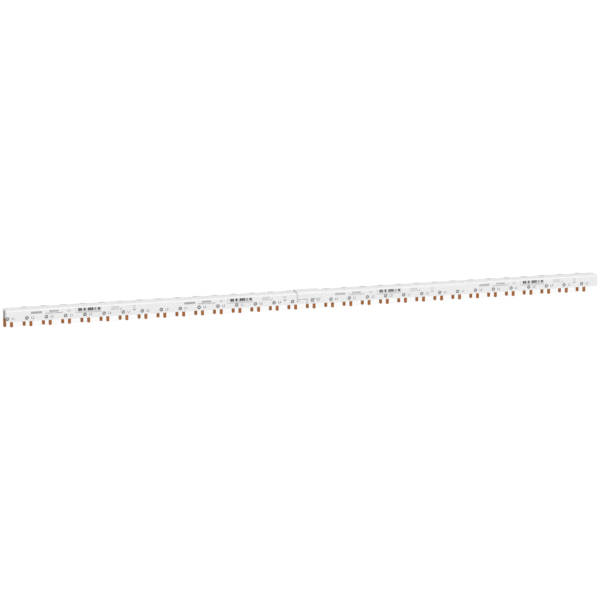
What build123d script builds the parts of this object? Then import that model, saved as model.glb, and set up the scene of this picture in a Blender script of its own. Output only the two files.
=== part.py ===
"""Comb busbar for a row of 32 two-pole modular devices: a neutral row and a phase row of copper teeth.

The frame's origin is the tip of the first phase tooth. +X runs along the bar, +Y away from the front skirt,
+Z up, and the teeth point down. All sizes are in millimetres.
"""

import math
import os

from build123d import *

# Poles
pole_count = 32
pole_pitch = 27.0
poles_per_housing = 16
neutral_offset = 8.4
end_margin = 8.75

# Copper strips and teeth
strip_thickness = 1.5
strip_pitch = 2.5
strip_height = 9.3
strip_setback = 3.0
tooth_width = 4.1
tooth_tip_rise = 0.95
shank_length = 0.95
shank_straight = 0.2
bend_radius = 1.5
bend_angle = 60.0

# Insulating separators
separator_thickness = 0.8
separator_overhang = 0.1

# Housing
housing_depth = 20.0
front_reach = 6.1
skirt_bottom = 8.5
floor_bottom = 12.4
floor_thickness = 1.0
headroom = 0.3
wall = 1.4
edge_bevel = 1.85
clearance = 0.1
joint_gap = 0.2

# Tray
ledge_depth = 0.8
inner_wall = 1.0
rib_thickness = 1.0
rib_offset = 5.0
rib_drop = 1.4
window_clearance = 0.35
window_margin = 0.25

# Snap fits between cover and tray
bead_depth = 0.5
bead_height = 1.1
hook_offset = 21.0
hook_length = 11.0
hook_rise = 0.85
hook_head = 1.0
hook_head_length = 5.0

# End caps
cap_thickness = 1.0
plug_depth = 1.7

# Joint sleeve
sleeve_length = 35.0
sleeve_wall = 1.2
sleeve_tab = 4.6
sleeve_tab_shift = -0.85
sleeve_corner_height = 7.8
sleeve_lip = 0.8

# Places worked out from the sizes above
front_face = -front_reach
rear_face = front_face + housing_depth
left_end = -end_margin
right_end = left_end + pole_count * pole_pitch
joint_x = left_end + poles_per_housing * pole_pitch
housing_left = left_end + cap_thickness + clearance
housing_right = right_end - cap_thickness - clearance
floor_top = floor_bottom + floor_thickness
strip_bottom = floor_top + clearance
strip_top = strip_bottom + strip_height
housing_top = strip_top + headroom + wall
shank_bottom = strip_bottom - shank_length
l1_y = -strip_pitch
l2_y = 0.0
l3_y = strip_pitch
neutral_y = 2 * strip_pitch
inner_wall_front = neutral_y + strip_thickness / 2 + clearance
inner_wall_back = inner_wall_front + inner_wall
rear_wall_front = rear_face - wall
cover_back = rear_wall_front - clearance
ledge_top = housing_top - wall - clearance
inner_front = front_face + wall
inner_bevel = edge_bevel - wall * (2 - math.sqrt(2))
phase_teeth = [pole * pole_pitch for pole in range(pole_count)]
neutral_teeth = [x - neutral_offset for x in phase_teeth]
neutral_strip_left = neutral_teeth[0] - tooth_width / 2
phase_strip_left = left_end + strip_setback
strip_right = right_end - strip_setback
separator_left = phase_strip_left - separator_overhang
separator_right = strip_right + separator_overhang
rear_separator_y = (l3_y + neutral_y) / 2
slot_front = rear_separator_y - separator_thickness / 2 - clearance
slot_back = neutral_y + strip_thickness / 2 + clearance


def tooth_outline():
    """Front view of a straight tooth, from its arched tip at the origin up to the top of the strip."""
    half_width = tooth_width / 2
    with BuildSketch() as outline:
        with BuildLine():
            Polyline(
                (-half_width, tooth_tip_rise),
                (-half_width, strip_top),
                (half_width, strip_top),
                (half_width, tooth_tip_rise),
            )
            ThreePointArc((half_width, tooth_tip_rise), (0, 0), (-half_width, tooth_tip_rise))
        make_face()
    return outline.sketch


def shank_outline():
    """Front view of the stub that a bent tooth grows from, up to the top of the strip."""
    with BuildSketch() as outline:
        with Locations((0, (shank_bottom + strip_top) / 2)):
            Rectangle(tooth_width, strip_top - shank_bottom)
    return outline.sketch


def comb(y, x_left, x_right, teeth, tooth):
    """A strip in the plane at y, with the same tooth outline at each place in teeth."""
    with BuildPart() as strip:
        with BuildSketch(Plane.XZ.offset(-y)):
            with Locations(((x_left + x_right) / 2, (strip_bottom + strip_top) / 2)):
                Rectangle(x_right - x_left, strip_height)
            with Locations(*[(x, 0) for x in teeth]):
                add(tooth)
        extrude(amount=strip_thickness / 2, both=True)
    return strip.part


def joggled_tooth(y):
    """The part of a tooth below its shank, bent from the plane at y into the phase row, at X = 0."""
    lean = math.radians(bend_angle)
    corner_drop = bend_radius * math.tan(lean / 2)
    upper_corner = shank_bottom - shank_straight - corner_drop
    lower_corner = upper_corner - abs(l2_y - y) / math.tan(lean)
    with BuildPart() as tooth:
        with BuildLine() as path:
            FilletPolyline(
                (0, y, shank_bottom),
                (0, y, upper_corner),
                (0, l2_y, lower_corner),
                (0, l2_y, 0),
                radius=bend_radius,
            )
        with BuildSketch(Plane.XY.offset(shank_bottom)):
            with Locations((0, y)):
                Rectangle(tooth_width, strip_thickness)
        sweep(path=path.wires()[0])
        with BuildSketch(Plane.XZ.offset(-l2_y)):
            add(tooth_outline())
        extrude(amount=strip_pitch + strip_thickness, both=True, mode=Mode.INTERSECT)
    return tooth.part


def joggled_comb(y, teeth):
    """A phase strip in the plane at y, whose teeth are bent into the phase row."""
    tooth = joggled_tooth(y)
    with BuildPart() as bent:
        add(comb(y, phase_strip_left, strip_right, teeth, shank_outline()))
        with Locations(*[(x, 0, 0) for x in teeth]):
            add(tooth)
    return bent.part


def separator(y, x_left):
    """An insulating strip that stands on the tray floor in the plane at y."""
    with BuildPart() as strip:
        with BuildSketch(Plane.YZ.offset(x_left)):
            with Locations((y, (floor_top + strip_top) / 2)):
                Rectangle(separator_thickness, strip_top - floor_top)
        extrude(amount=separator_right - x_left)
    return strip.part


def cover(x_left, x_right, outer_end):
    """Skirt, bevelled edge and top of one housing length; the front wall runs on to the outer end past the cap."""
    with BuildPart() as shell:
        with BuildSketch(Plane.YZ.offset(x_left)):
            with BuildLine():
                Polyline(
                    (front_face, skirt_bottom),
                    (front_face, housing_top - edge_bevel),
                    (front_face + edge_bevel, housing_top),
                    (cover_back, housing_top),
                    (cover_back, housing_top - wall),
                    (inner_front + inner_bevel, housing_top - wall),
                    (inner_front, housing_top - wall - inner_bevel),
                    (inner_front, floor_bottom - clearance),
                    (inner_front + bead_depth, floor_bottom - clearance),
                    (inner_front, floor_bottom - clearance - bead_height),
                    (inner_front, skirt_bottom),
                    close=True,
                )
            make_face()
        extrude(amount=x_right - x_left)
        inner_end = x_left if outer_end < x_left else x_right
        with BuildSketch(Plane.YZ.offset(inner_end)):
            with BuildLine():
                Polyline(
                    (front_face, skirt_bottom),
                    (front_face, housing_top - edge_bevel),
                    (inner_front, housing_top - edge_bevel + wall),
                    (inner_front, skirt_bottom),
                    close=True,
                )
            make_face()
        extrude(amount=outer_end - inner_end)
    return shell.part


def snap_hook():
    """An arched hook on the tray's rear wall, whose head grips the cover's back edge, at X = 0."""
    half_length = hook_length / 2
    with BuildPart() as hook:
        with BuildSketch(Plane.XZ.offset(-rear_face)):
            with BuildLine():
                Line((-half_length, housing_top), (half_length, housing_top))
                ThreePointArc((half_length, housing_top), (0, housing_top + hook_rise), (-half_length, housing_top))
            make_face()
        extrude(amount=wall)
        with BuildSketch(Plane.YZ):
            with BuildLine():
                Polyline(
                    (rear_wall_front, housing_top + hook_rise / 2),
                    (rear_wall_front - hook_head, housing_top + clearance),
                    (rear_wall_front, housing_top + clearance),
                    close=True,
                )
            make_face()
        extrude(amount=hook_head_length / 2, both=True)
    return hook.part


def tray(x_left, x_right, hooks):
    """Floor with tooth windows, rear wall with ledge and hooks, and the ribbed wall by the neutral strip."""
    floor_front = inner_front + clearance
    hook = snap_hook()
    first_pole = round((x_left - left_end) / pole_pitch)
    ribs = [x + rib_offset for x in phase_teeth[first_pole : first_pole + poles_per_housing]]
    with BuildPart() as base:
        with BuildSketch(Plane.YZ.offset(x_left)):
            with BuildLine():
                Polyline(
                    (floor_front, floor_bottom),
                    (rear_face, floor_bottom),
                    (rear_face, housing_top),
                    (rear_wall_front, housing_top),
                    (rear_wall_front, ledge_top),
                    (rear_wall_front - ledge_depth, ledge_top),
                    (rear_wall_front, ledge_top - ledge_depth),
                    (rear_wall_front, floor_top),
                    (inner_wall_back, floor_top),
                    (inner_wall_back, strip_top),
                    (inner_wall_front, strip_top),
                    (inner_wall_front, floor_top),
                    (floor_front, floor_top),
                    close=True,
                )
            make_face()
        extrude(amount=x_right - x_left)

        rib_height = strip_top - rib_drop - floor_top
        with BuildSketch(Plane.XY.offset(floor_top)):
            with Locations(*[(x, (inner_wall_back + rear_wall_front) / 2) for x in ribs]):
                Rectangle(rib_thickness, rear_wall_front - inner_wall_back)
        extrude(amount=rib_height)

        with Locations(*[(x, 0, 0) for x in hooks]):
            add(hook)

        phase_front = l1_y - strip_thickness / 2 - window_margin
        phase_back = l3_y + strip_thickness / 2 + window_margin
        neutral_front = neutral_y - strip_thickness / 2 - window_margin
        window_length = tooth_width + 2 * window_clearance
        with BuildSketch(Plane.XY.offset(floor_bottom)):
            with Locations(*[(x, (phase_front + phase_back) / 2) for x in phase_teeth]):
                Rectangle(window_length, phase_back - phase_front)
            with Locations(*[(x, (neutral_front + inner_wall_front) / 2) for x in neutral_teeth]):
                Rectangle(window_length, inner_wall_front - neutral_front)
        extrude(amount=floor_thickness, mode=Mode.SUBTRACT)
    return base.part


def joint_sleeve():
    """Saddle over the place where the two housing lengths meet, with two cut corners at its lower front edge."""
    saddle_front = front_face - clearance
    inner_back = rear_face + clearance
    inner_top = housing_top + clearance
    inner_corner = edge_bevel + clearance * (2 - math.sqrt(2))
    outer_corner = inner_corner + sleeve_wall * (2 - math.sqrt(2))
    lip_top = floor_bottom - clearance
    with BuildPart() as saddle:
        with BuildSketch(Plane.YZ.offset(joint_x - sleeve_length / 2)):
            with BuildLine():
                Polyline(
                    (saddle_front - sleeve_wall, skirt_bottom),
                    (saddle_front - sleeve_wall, inner_top + sleeve_wall - outer_corner),
                    (saddle_front - sleeve_wall + outer_corner, inner_top + sleeve_wall),
                    (inner_back + sleeve_wall, inner_top + sleeve_wall),
                    (inner_back + sleeve_wall, lip_top - sleeve_wall),
                    (inner_back - sleeve_lip, lip_top),
                    (inner_back, lip_top),
                    (inner_back, inner_top),
                    (saddle_front + inner_corner, inner_top),
                    (saddle_front, inner_top - inner_corner),
                    (saddle_front, skirt_bottom),
                    close=True,
                )
            make_face()
        extrude(amount=sleeve_length)
        for side in (-1, 1):
            corner_length = (sleeve_length - sleeve_tab) / 2 - side * sleeve_tab_shift
            corner_x = joint_x + side * (sleeve_length - corner_length) / 2
            with BuildSketch(Plane.XZ.offset(-saddle_front)):
                with Locations((corner_x, skirt_bottom + sleeve_corner_height / 2)):
                    Rectangle(corner_length, sleeve_corner_height)
            extrude(amount=sleeve_wall, mode=Mode.SUBTRACT)
    return saddle.part


def end_cap(x_outer, inward, slotted):
    """Lid for one end of the housing, plugged in on each side of the neutral strip; inward is 1 or -1."""
    plug_bottom = floor_top + clearance
    plug_front = inner_front + clearance
    lid_corner = housing_top - edge_bevel + plug_front - front_face
    rear_plug_front = inner_wall_back + clearance
    rear_plug_back = rear_wall_front - ledge_depth - clearance
    with BuildPart() as cap:
        with BuildSketch(Plane.YZ.offset(x_outer)):
            with BuildLine():
                Polyline(
                    (plug_front, floor_bottom),
                    (plug_front, lid_corner),
                    (front_face + edge_bevel, housing_top),
                    (rear_face, housing_top),
                    (rear_face, floor_bottom),
                    close=True,
                )
            make_face()
            if slotted:
                slot_height = strip_top + clearance - floor_bottom
                with Locations(((slot_front + slot_back) / 2, floor_bottom + slot_height / 2)):
                    Rectangle(slot_back - slot_front, slot_height, mode=Mode.SUBTRACT)
        extrude(amount=inward * cap_thickness)
        with BuildSketch(Plane.YZ.offset(x_outer + inward * cap_thickness)):
            with BuildLine():
                Polyline(
                    (plug_front, plug_bottom),
                    (plug_front, ledge_top - inner_bevel),
                    (plug_front + inner_bevel, ledge_top),
                    (slot_front, ledge_top),
                    (slot_front, plug_bottom),
                    close=True,
                )
            make_face()
            with Locations(((rear_plug_front + rear_plug_back) / 2, (plug_bottom + ledge_top) / 2)):
                Rectangle(rear_plug_back - rear_plug_front, ledge_top - plug_bottom)
        extrude(amount=inward * plug_depth)
    return cap.part


def hook_places(first_pole):
    """The hooks of one housing length, one between each pair of neighbouring poles."""
    return [x + hook_offset for x in phase_teeth[first_pole : first_pole + poles_per_housing - 1]]


left_span = (housing_left, joint_x - joint_gap / 2)
right_span = (joint_x + joint_gap / 2, housing_right)
left_hooks = hook_places(0)
right_hooks = hook_places(poles_per_housing)

pieces = {
    "cover_left": cover(*left_span, left_end),
    "cover_right": cover(*right_span, right_end),
    "tray_left": tray(*left_span, left_hooks),
    "tray_right": tray(*right_span, right_hooks),
    "joint_sleeve": joint_sleeve(),
    "end_cap_left": end_cap(left_end, 1, slotted=True),
    "end_cap_right": end_cap(right_end, -1, slotted=False),
    "comb_neutral": comb(neutral_y, neutral_strip_left, strip_right, neutral_teeth, tooth_outline()),
    "comb_l1": joggled_comb(l1_y, phase_teeth[0::3]),
    "comb_l2": comb(l2_y, phase_strip_left, strip_right, phase_teeth[1::3], tooth_outline()),
    "comb_l3": joggled_comb(l3_y, phase_teeth[2::3]),
    "separator_front": separator((l1_y + l2_y) / 2, separator_left),
    "separator_middle": separator((l2_y + l3_y) / 2, separator_left),
    "separator_rear": separator(rear_separator_y, neutral_strip_left - separator_overhang),
}

os.makedirs("parts", exist_ok=True)
for name, piece in pieces.items():
    piece.label = name
    export_step(piece, f"parts/{name}.step")
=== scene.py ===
"""Looks of the comb busbar: moulded plastic, stamped copper, the print, a white studio and the camera."""

import math

import bmesh
import bpy
from mathutils import Matrix, Vector


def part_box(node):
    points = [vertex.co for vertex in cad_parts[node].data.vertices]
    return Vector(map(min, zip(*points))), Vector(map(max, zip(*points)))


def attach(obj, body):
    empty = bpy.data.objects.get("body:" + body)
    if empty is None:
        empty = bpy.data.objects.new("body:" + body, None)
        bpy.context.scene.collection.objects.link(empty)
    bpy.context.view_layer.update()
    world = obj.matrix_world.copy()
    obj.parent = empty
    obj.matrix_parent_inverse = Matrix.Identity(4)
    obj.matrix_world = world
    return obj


MM = 0.001

# The row of poles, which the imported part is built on
POLE_PITCH = 27 * MM
POLES_PER_HALF = 16

# Rings and phase marks: the first ring of each half and the pitch between rings
LEFT_RINGS = (-6.65 * MM, 27.032 * MM)
RIGHT_RINGS = (428.05 * MM, 26.858 * MM)
RING_HEIGHT = 13.2 * MM
RING_OUTER = 2.45 * MM
RING_INNER = 1.42 * MM
RING_STROKE = 0.6 * MM
RING_SIDES = 40
MARK_OFFSET = 8.1 * MM
MARK_HEIGHT = 13.15 * MM
MARK_SIZE = 4.4 * MM
MARK_WEIGHT = 0.04 * MM

# The print that repeats every eight poles, in millimetres: left and right from the run's first ring, bottom
# and top from the origin. A line of words ends with the width of its letters and of the gaps between them.
RUN_POLES = 8
FIELD = (97.8, 131.3, 16.2, 22.6)
DARK_BLOCKS = (
    (98.9, 101.2, 18.5, 22.5), (101.5, 103.9, 18.5, 22.5), (106.4, 109.0, 18.5, 22.5),
    (112.3, 114.6, 18.5, 22.5), (114.9, 117.2, 18.5, 22.5), (117.6, 119.9, 18.5, 22.5),
    (126.5, 129.5, 18.7, 22.2),
)
GREY_BLOCKS = ((121.7, 123.8, 18.4, 22.4), (176.0, 179.6, 15.1, 16.6))
GREY_WORDS = (
    (33.0, 48.6, 18.5, 21.5, 1.25, 0.45),
    (58.4, 72.3, 19.5, 22.1, 0.95, 0.5),
    (53.2, 77.2, 17.3, 18.8, 0.7, 0.6),
)
FAINT_WORDS = (
    (83.2, 88.7, 20.2, 21.5, 0.8, 0.3), (83.2, 88.7, 18.6, 19.8, 0.8, 0.3),
    (145.0, 156.4, 20.8, 22.1, 0.9, 0.35), (145.0, 156.4, 19.0, 20.3, 0.9, 0.35),
    (145.0, 156.4, 17.2, 18.5, 0.9, 0.35),
    (175.6, 180.2, 20.2, 21.7, 0.8, 0.3), (175.6, 180.2, 18.4, 19.6, 0.8, 0.3),
)
FRAME_BOX = (94.6, 131.5, 15.7, 22.6)
FRAME_LINE = 0.7
TICK = (157.3, 159.8, 16.5, 19.3)
TICK_WIDTH = 0.95
WORD_LETTERS = 9

FIELD_DEPTH = 0.02 * MM
INK_DEPTH = 0.04 * MM
INK_SINK = 0.01 * MM
INK_CHANGE = 1 * MM

# Softened edges, and the clean-up before them: points this close are joined and facets this flat made one
PLASTIC_EDGE = 0.18 * MM
COPPER_EDGE = 0.14 * MM
EDGE_ANGLE = math.radians(35)
EDGE_SEGMENTS = 2
JOIN_REACH = 0.002 * MM
FLAT_ANGLE = math.radians(1)

# Plastics, each with its colour and roughness
HOUSING = ((0.83, 0.83, 0.835), 0.42)
TRAY = ((0.675, 0.685, 0.67), 0.45)
# Separators: a brownish grey that is partly their own colour and partly painted shade for where they sit in
# shadow
SEPARATOR = ((0.50, 0.45, 0.41), 0.5)
PLASTIC_SPECULAR = 0.4

# Copper: the colours of the phase row and of the neutral row, whose darker colour is painted shade
PHASE_COLOUR = (0.415, 0.145, 0.042)
NEUTRAL_SHADED_COLOUR = (0.365, 0.134, 0.042)

# Inks, each with its colour on the left half and the factor by which the right half is paler
DARK_INK = ((0.048, 0.048, 0.05), 2.2)
GREY_INK = ((0.25, 0.25, 0.26), 1.45)
FAINT_INK = ((0.54, 0.54, 0.55), 1.1)
FIELD_INK = ((0.62, 0.62, 0.63), 1.04)

# Plastic: stretch, size and lightness of its flow clouds, how far its gloss wanders, and its grain
FLOW_STRETCH = (0.3, 1, 1)
FLOW_SCALE = 90.0
FLOW_SHADE = (0.975, 1.02)
GLOSS_DRIFT = 0.06
GRAIN_SCALE = 2600.0
GRAIN_HEIGHT = 0.06 * MM
GRAIN_STRENGTH = 0.12

# Painted shade in the plastic's corners, and painted shade on the rear of the covers' tops
CORNER_REACH = 1.6 * MM
CORNER_SAMPLES = 8
CORNER_SHADE = 0.45
TRAY_CORNER_SHADE = 0.9
BAND_FROM = 2 * MM
BAND_TO = 7 * MM
BAND_SHADE = 0.98
BAND_TILT = (0.8, 0.95)

# Copper: rolling lines, tarnish, and the sheared sides' lightness and roughness beside the faces'
LINE_STRETCH = (0.04, 1, 1)
LINE_SCALE = 5200.0
LINE_SHADE = (0.93, 1.05)
LINE_HEIGHT = 0.04 * MM
LINE_STRENGTH = 0.25
TARNISH_SCALE = 260.0
TARNISH_SHADE = (0.86, 1.08)
SHEARED_SHADE = (1.0, 0.82)
SHEARED_ROUGHNESS = (0.34, 0.55)

# Ink: thin patches
PATCH_SCALE = 1500.0
PATCH_SHADE = (0.85, 1.2)
INK_ROUGHNESS = 0.6

# Camera
CAMERA_PLACE = (-0.8743, -4.3365, 0.9744)
CAMERA_HEADING = math.radians(16.514)
CAMERA_DIP = math.radians(11.995)
CAMERA_LENS = 198.0
CAMERA_SENSOR = 36.0
CAMERA_REACH = 200

# Light
WORLD_LEVEL = 0.515
KEY_STRENGTH = 1.68
KEY_SOFTNESS = math.radians(25)
KEY_FROM = (0.12, -0.66, 0.74)

# Floor: its colour towards the object, and the shade and glow that the camera sees
FLOOR_SIZE = 60.0
FLOOR_BOUNCE = (0.85, 0.85, 0.85, 1)
FLOOR_SHADE = (0.12, 0.12, 0.12, 1)
FLOOR_GLOW = 0.915
WHITE = (1, 1, 1, 1)


def tree_of(block):
    """The emptied node tree of a material or a world."""
    block.use_nodes = True
    block.node_tree.nodes.clear()
    return block.node_tree


def node(tree, kind, **values):
    """A new node, with its sockets set by name or linked from another node's socket."""
    made = tree.nodes.new(kind)
    for name, value in values.items():
        if name == "operation":
            made.operation = value
            continue
        socket = made.inputs[name.replace("_", " ")]
        if isinstance(value, bpy.types.NodeSocket):
            tree.links.new(value, socket)
        else:
            socket.default_value = value
    return made


def combine(tree, operation, *values):
    """Value sockets taken one after another through a math operation."""
    result = values[0]
    for value in values[1:]:
        step = node(tree, "ShaderNodeMath", operation=operation)
        tree.links.new(result, step.inputs[0])
        tree.links.new(value, step.inputs[1])
        result = step.outputs[0]
    return result


def by_view(tree, hidden, shown):
    """The shown shader where the camera, a mirror or a clear body sees it, else the hidden one, which lights."""
    path = node(tree, "ShaderNodeLightPath")
    seen = [path.outputs[ray] for ray in ("Is Camera Ray", "Is Glossy Ray", "Is Transmission Ray")]
    mix = node(tree, "ShaderNodeMixShader", Fac=combine(tree, "MAXIMUM", *seen))
    tree.links.new(hidden.outputs[0], mix.inputs[1])
    tree.links.new(shown.outputs[0], mix.inputs[2])
    return mix.outputs[0]


def noise(tree, scale, detail, stretch=(1, 1, 1)):
    """A noise pattern over the object, stretched where it runs one way, as a value socket."""
    place = node(tree, "ShaderNodeTexCoord")
    mapping = node(tree, "ShaderNodeMapping", Vector=place.outputs["Object"], Scale=stretch)
    return node(tree, "ShaderNodeTexNoise", Vector=mapping.outputs[0], Scale=scale, Detail=detail).outputs[0]


def spread(tree, value, low, high, start=0.0, end=1.0):
    """A value from start to end, laid out from low to high."""
    ends = {"From_Min": start, "From_Max": end, "To_Min": low, "To_Max": high}
    return node(tree, "ShaderNodeMapRange", Value=value, **ends).outputs[0]


def scaled(tree, colour, level):
    """A colour made lighter or darker by a value socket."""
    made = node(tree, "ShaderNodeVectorMath", operation="SCALE", Scale=level)
    made.inputs[0].default_value = colour
    return made.outputs[0]


def facing(tree, axis):
    """How far the surface faces along an axis of the object, as a value socket."""
    normal = node(tree, "ShaderNodeNewGeometry")
    return node(tree, "ShaderNodeSeparateXYZ", Vector=normal.outputs["True Normal"]).outputs[axis]


def place_along(tree, axis):
    """The place along an axis of the object, as a value socket."""
    place = node(tree, "ShaderNodeTexCoord")
    return node(tree, "ShaderNodeSeparateXYZ", Vector=place.outputs["Object"]).outputs[axis]


def painted_rear_shade(tree):
    """Painted shade: 1 in front, falling to BAND_SHADE on the rear half of faces that look up."""
    depth = spread(tree, place_along(tree, "Y"), 0.0, 1.0, BAND_FROM, BAND_TO)
    level = spread(tree, facing(tree, "Z"), 0.0, 1.0, *BAND_TILT)
    return spread(tree, combine(tree, "MULTIPLY", depth, level), 1.0, BAND_SHADE)


def plastic(name, colour, roughness, corner_shade=CORNER_SHADE, banded=False):
    """Moulded plastic: a fine spark-eroded grain, faint flow clouds, uneven gloss and painted shade in the
    corners.
    """
    material = bpy.data.materials.new(name)
    tree = tree_of(material)
    clouds = noise(tree, FLOW_SCALE, 3.0, FLOW_STRETCH)
    # Painted shade: ambient occlusion darkens the colour in corners and creases
    corners = node(tree, "ShaderNodeAmbientOcclusion", Distance=CORNER_REACH)
    corners.samples = CORNER_SAMPLES
    flow = spread(tree, clouds, *FLOW_SHADE)
    painted_corner_shade = spread(tree, corners.outputs["AO"], corner_shade, 1.0)
    level = combine(tree, "MULTIPLY", flow, painted_corner_shade)
    # Painted shade on the rear of the covers' tops
    if banded:
        level = combine(tree, "MULTIPLY", level, painted_rear_shade(tree))
    gloss = spread(tree, clouds, roughness - GLOSS_DRIFT, roughness + GLOSS_DRIFT)
    grain = noise(tree, GRAIN_SCALE, 2.0)
    bump = node(tree, "ShaderNodeBump", Strength=GRAIN_STRENGTH, Distance=GRAIN_HEIGHT, Height=grain)
    surface = node(
        tree, "ShaderNodeBsdfPrincipled", Base_Color=scaled(tree, colour, level), Roughness=gloss,
        Normal=bump.outputs[0], Specular_IOR_Level=PLASTIC_SPECULAR,
    )
    node(tree, "ShaderNodeOutputMaterial", Surface=surface.outputs[0])
    return material


def copper(name, colour):
    """Rolled copper: fine lines along the bar, clouds of tarnish, and duller sheared sides."""
    material = bpy.data.materials.new(name)
    tree = tree_of(material)
    lines = noise(tree, LINE_SCALE, 4.0, LINE_STRETCH)
    clouds = noise(tree, TARNISH_SCALE, 3.0)
    sheared = node(tree, "ShaderNodeMath", operation="ABSOLUTE")
    tree.links.new(facing(tree, "X"), sheared.inputs[0])
    level = combine(
        tree,
        "MULTIPLY",
        spread(tree, clouds, *TARNISH_SHADE),
        spread(tree, lines, *LINE_SHADE),
        spread(tree, sheared.outputs[0], *SHEARED_SHADE),
    )
    rough = spread(tree, sheared.outputs[0], *SHEARED_ROUGHNESS)
    bump = node(tree, "ShaderNodeBump", Strength=LINE_STRENGTH, Distance=LINE_HEIGHT, Height=lines)
    surface = node(
        tree, "ShaderNodeBsdfPrincipled", Base_Color=scaled(tree, colour, level), Roughness=rough,
        Normal=bump.outputs[0], Metallic=1.0,
    )
    node(tree, "ShaderNodeOutputMaterial", Surface=surface.outputs[0])
    return material


def ink(name, colour, paler):
    """Pad-printed ink: matt, a little thin in places, and paler by a factor on the right half."""
    material = bpy.data.materials.new(name)
    tree = tree_of(material)
    thin = spread(tree, noise(tree, PATCH_SCALE, 2.0), *PATCH_SHADE)
    pale = spread(tree, place_along(tree, "X"), 1.0, paler, middle_x, middle_x + INK_CHANGE)
    tone = scaled(tree, colour, combine(tree, "MULTIPLY", thin, pale))
    surface = node(tree, "ShaderNodeBsdfPrincipled", Base_Color=tone, Roughness=INK_ROUGHNESS)
    node(tree, "ShaderNodeOutputMaterial", Surface=surface.outputs[0])
    return material


def dress(name, material, edge):
    """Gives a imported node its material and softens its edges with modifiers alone."""
    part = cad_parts[name]
    part.data.materials.clear()
    part.data.materials.append(material)
    weld = part.modifiers.new("weld", "WELD")
    weld.merge_threshold = JOIN_REACH
    flat = part.modifiers.new("flat", "DECIMATE")
    flat.decimate_type = "DISSOLVE"
    flat.angle_limit = FLAT_ANGLE
    soft = part.modifiers.new("edges", "BEVEL")
    soft.width = edge
    soft.segments = EDGE_SEGMENTS
    soft.limit_method = "ANGLE"
    soft.angle_limit = EDGE_ANGLE
    soft.use_clamp_overlap = True
    even = part.modifiers.new("even", "WEIGHTED_NORMAL")
    even.keep_sharp = False
    return part


class Sheet:
    """Flat shapes in the plane of the front face, each made as thick as a film of ink."""

    def __init__(self, face_y, depth=INK_DEPTH):
        self.mesh = bmesh.new()
        self.back = face_y + INK_SINK
        self.front = face_y - depth

    def outline(self, points):
        """A filled convex outline of (X, Z) points, given anticlockwise as seen from the front."""
        near = [self.mesh.verts.new((x, self.front, z)) for x, z in points]
        far = [self.mesh.verts.new((x, self.back, z)) for x, z in points]
        self.mesh.faces.new(near)
        self.mesh.faces.new(far[::-1])
        for k in range(len(points)):
            j = (k + 1) % len(points)
            self.mesh.faces.new((near[j], near[k], far[k], far[j]))

    def bar(self, x, z, width, height):
        """A plain rectangle with its centre at x, z."""
        self.outline([
            (x - width / 2, z - height / 2),
            (x + width / 2, z - height / 2),
            (x + width / 2, z + height / 2),
            (x - width / 2, z + height / 2),
        ])

    def block(self, run, left, right, bottom, top):
        """A rectangle by its edges in millimetres, with left and right counted along a run of print."""
        start, scale = run
        middle = start + (left + right) / 2 * scale * MM
        self.bar(middle, (bottom + top) / 2 * MM, (right - left) * scale * MM, (top - bottom) * MM)

    def words(self, run, left, right, bottom, top, letter, gap):
        """A line of unreadable lettering: small blocks of one width, with a wider space after each word."""
        place = left
        count = 0
        while place + letter <= right:
            self.block(run, place, place + letter, bottom, top)
            count += 1
            place += letter + gap
            if count % WORD_LETTERS == 0:
                place += letter

    def stroke(self, start, end, width):
        """A straight line from start to end."""
        along = (Vector(end) - Vector(start)).normalized()
        side = Vector((-along.y, along.x)) * width / 2
        corners = [Vector(start) - side, Vector(end) - side, Vector(end) + side, Vector(start) + side]
        self.outline([tuple(p) for p in corners])

    def tick(self, run):
        """The short slanting line in one run of print."""
        start, scale = run
        left, right, bottom, top = TICK
        ends = [(start + x * scale * MM, z * MM) for x, z in ((left, bottom), (right, top))]
        self.stroke(*ends, TICK_WIDTH * MM)

    def frame(self, run):
        """The open frame round one run's field: its lower edge, its left side and the start of its top."""
        left, right, bottom, top = FRAME_BOX
        self.block(run, left, right, bottom, bottom + FRAME_LINE)
        self.block(run, left, FIELD[0], top - FRAME_LINE, top)
        self.block(run, left, left + FRAME_LINE, bottom + FRAME_LINE, top - FRAME_LINE)

    def ring(self, x, z, outer, inner):
        """An open circle."""
        loops = []
        for radius, y in ((outer, self.front), (inner, self.front), (inner, self.back), (outer, self.back)):
            turns = [2 * math.pi * k / RING_SIDES for k in range(RING_SIDES)]
            loops.append([
                self.mesh.verts.new((x + radius * math.cos(t), y, z + radius * math.sin(t))) for t in turns
            ])
        for k in range(4):
            first, second = loops[k], loops[(k + 1) % 4]
            for n in range(RING_SIDES):
                m = (n + 1) % RING_SIDES
                self.mesh.faces.new((first[n], first[m], second[m], second[n]))

    def letters(self, template, x, z):
        """A copy of a text mesh, centred at x, z."""
        before = len(self.mesh.verts)
        self.mesh.from_mesh(template)
        self.mesh.verts.ensure_lookup_table()
        move = Matrix.Translation((x, self.front, z))
        for v in self.mesh.verts[before:]:
            v.co = move @ v.co

    def piece(self, name, material):
        """The finished piece, which rides on the busbar."""
        bmesh.ops.recalc_face_normals(self.mesh, faces=self.mesh.faces)
        data = bpy.data.meshes.new(name)
        self.mesh.to_mesh(data)
        self.mesh.free()
        made = bpy.data.objects.new(name, data)
        bpy.context.scene.collection.objects.link(made)
        data.materials.append(material)
        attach(made, "root")
        return made


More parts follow.
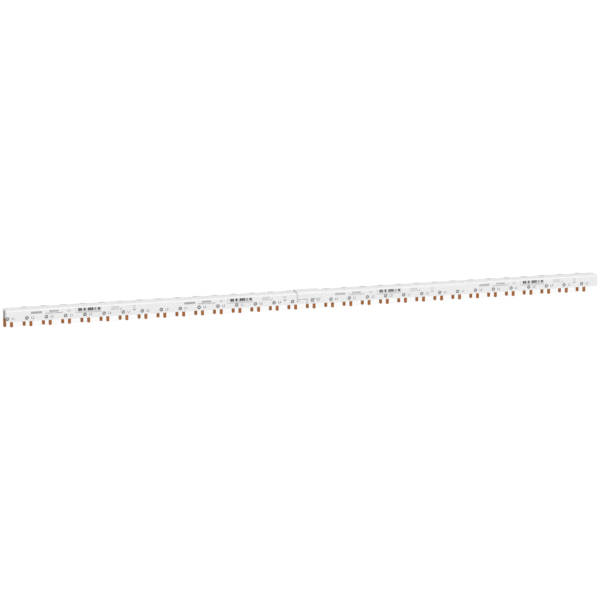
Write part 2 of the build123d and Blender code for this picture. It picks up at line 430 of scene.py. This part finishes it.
def text_mesh(words, size):
    """A thin mesh of upright lettering that faces the front, centred on its origin."""
    curve = bpy.data.curves.new(words, "FONT")
    curve.body = words
    curve.size = size
    curve.align_x = "CENTER"
    curve.align_y = "CENTER"
    curve.extrude = (INK_DEPTH + INK_SINK) / 2
    curve.offset = MARK_WEIGHT
    curve.resolution_u = 3
    holder = bpy.data.objects.new(words, curve)
    bpy.context.scene.collection.objects.link(holder)
    bpy.context.view_layer.update()
    mesh = bpy.data.meshes.new_from_object(holder.evaluated_get(bpy.context.evaluated_depsgraph_get()))
    bpy.data.objects.remove(holder)
    upright = Matrix.Rotation(math.pi / 2, 4, "X")
    mesh.transform(Matrix.Translation((0, (INK_DEPTH + INK_SINK) / 2, 0)) @ upright)
    return mesh


def pole_marks(name, rings, first_pole, material, face_y):
    """A ring with a slash over each pole of one half, and the phase mark beside it."""
    sheet = Sheet(face_y)
    first, pitch = rings
    for k in range(POLES_PER_HALF):
        x = first + k * pitch
        sheet.ring(x, RING_HEIGHT, RING_OUTER, RING_INNER)
        reach = RING_INNER * math.sqrt(0.5)
        sheet.stroke((x - reach, RING_HEIGHT - reach), (x + reach, RING_HEIGHT + reach), RING_STROKE)
        sheet.letters(phase_text[(first_pole + k) % 3], x + MARK_OFFSET, MARK_HEIGHT)
    return sheet.piece(name, material)


def print_runs(rings):
    """The first ring of each run of print in one half of the bar, and the print's scale along it."""
    first, pitch = rings
    return [(first + k * pitch, pitch / POLE_PITCH) for k in range(0, POLES_PER_HALF, RUN_POLES)]


def printed(blocks, words, depth=INK_DEPTH):
    """A sheet with one ink's blocks and lines of words in every run."""
    sheet = Sheet(front_y, depth)
    for run in runs:
        for edges in blocks:
            sheet.block(run, *edges)
        for line in words:
            sheet.words(run, *line)
    return sheet


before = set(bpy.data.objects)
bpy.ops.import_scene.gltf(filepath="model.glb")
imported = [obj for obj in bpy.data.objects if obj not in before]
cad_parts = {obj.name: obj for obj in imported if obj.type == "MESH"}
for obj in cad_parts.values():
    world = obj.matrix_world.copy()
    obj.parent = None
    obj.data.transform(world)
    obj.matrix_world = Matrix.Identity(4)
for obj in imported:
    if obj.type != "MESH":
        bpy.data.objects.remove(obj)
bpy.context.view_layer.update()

front_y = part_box("cover_left")[0].y
middle_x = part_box("cover_left")[1].x

cover_plastic = plastic("cover_plastic", *HOUSING, banded=True)
housing_plastic = plastic("housing_plastic", *HOUSING)
tray_plastic = plastic("tray_plastic", *TRAY, corner_shade=TRAY_CORNER_SHADE)
separator_plastic = plastic("separator_plastic", *SEPARATOR)
phase_copper = copper("phase_copper", PHASE_COLOUR)
shaded_neutral_copper = copper("shaded_neutral_copper", NEUTRAL_SHADED_COLOUR)
dark_ink = ink("dark_ink", *DARK_INK)
grey_ink = ink("grey_ink", *GREY_INK)
faint_ink = ink("faint_ink", *FAINT_INK)
field_ink = ink("field_ink", *FIELD_INK)

for name in ("cover_left", "cover_right"):
    dress(name, cover_plastic, PLASTIC_EDGE)
for name in ("joint_sleeve", "end_cap_left", "end_cap_right"):
    dress(name, housing_plastic, PLASTIC_EDGE)
for name in ("tray_left", "tray_right"):
    dress(name, tray_plastic, PLASTIC_EDGE)
for name in ("separator_front", "separator_middle", "separator_rear"):
    dress(name, separator_plastic, PLASTIC_EDGE / 2)
for name in ("comb_l1", "comb_l2", "comb_l3"):
    dress(name, phase_copper, COPPER_EDGE)
# The neutral comb takes a darker copy of the copper as painted shade
dress("comb_neutral", shaded_neutral_copper, COPPER_EDGE)

phase_text = [text_mesh(words, MARK_SIZE) for words in ("L1", "L2", "L3")]
pole_marks("pole_marks_left", LEFT_RINGS, 0, dark_ink, front_y)
pole_marks("pole_marks_right", RIGHT_RINGS, POLES_PER_HALF, dark_ink, front_y)

runs = print_runs(LEFT_RINGS) + print_runs(RIGHT_RINGS)
printed((FIELD,), (), FIELD_DEPTH).piece("print_field", field_ink)
printed(DARK_BLOCKS, ()).piece("print_dark", dark_ink)
grey = printed(GREY_BLOCKS, GREY_WORDS)
faint = printed((), FAINT_WORDS)
for run in runs:
    grey.tick(run)
    faint.frame(run)
grey.piece("print_grey", grey_ink)
faint.piece("print_faint", faint_ink)

# Studio
world = bpy.data.worlds.new("studio")
bpy.context.scene.world = world
tree = tree_of(world)
dim = node(tree, "ShaderNodeBackground", Color=WHITE, Strength=WORLD_LEVEL)
white = node(tree, "ShaderNodeBackground", Color=WHITE, Strength=1.0)
node(tree, "ShaderNodeOutputWorld", Surface=by_view(tree, dim, white))

floor_mesh = bpy.data.meshes.new("floor")
half = FLOOR_SIZE / 2
corners = [(-half, -half, 0), (half, -half, 0), (half, half, 0), (-half, half, 0)]
floor_mesh.from_pydata(corners, [], [(0, 1, 2, 3)])
floor = bpy.data.objects.new("floor", floor_mesh)
bpy.context.scene.collection.objects.link(floor)
floor_material = bpy.data.materials.new("floor_white")
floor_mesh.materials.append(floor_material)
tree = tree_of(floor_material)
bounce = node(tree, "ShaderNodeBsdfDiffuse", Color=FLOOR_BOUNCE)
lit = node(tree, "ShaderNodeBsdfDiffuse", Color=FLOOR_SHADE)
glow = node(tree, "ShaderNodeEmission", Color=WHITE, Strength=FLOOR_GLOW)
pale = node(tree, "ShaderNodeAddShader")
tree.links.new(lit.outputs[0], pale.inputs[0])
tree.links.new(glow.outputs[0], pale.inputs[1])
node(tree, "ShaderNodeOutputMaterial", Surface=by_view(tree, bounce, pale))

key = bpy.data.lights.new("key", "SUN")
key.energy = KEY_STRENGTH
key.angle = KEY_SOFTNESS
key_object = bpy.data.objects.new("key", key)
key_object.rotation_euler = Vector(KEY_FROM).to_track_quat("Z", "Y").to_euler()
bpy.context.scene.collection.objects.link(key_object)

camera = bpy.data.cameras.new("camera")
camera.lens = CAMERA_LENS
camera.sensor_width = CAMERA_SENSOR
camera.clip_end = CAMERA_REACH
camera_object = bpy.data.objects.new("camera", camera)
camera_object.location = CAMERA_PLACE
camera_object.rotation_euler = (math.pi / 2 - CAMERA_DIP, 0, -CAMERA_HEADING)
bpy.context.scene.collection.objects.link(camera_object)
bpy.context.scene.camera = camera_object

bpy.context.scene.view_settings.view_transform = "Standard"
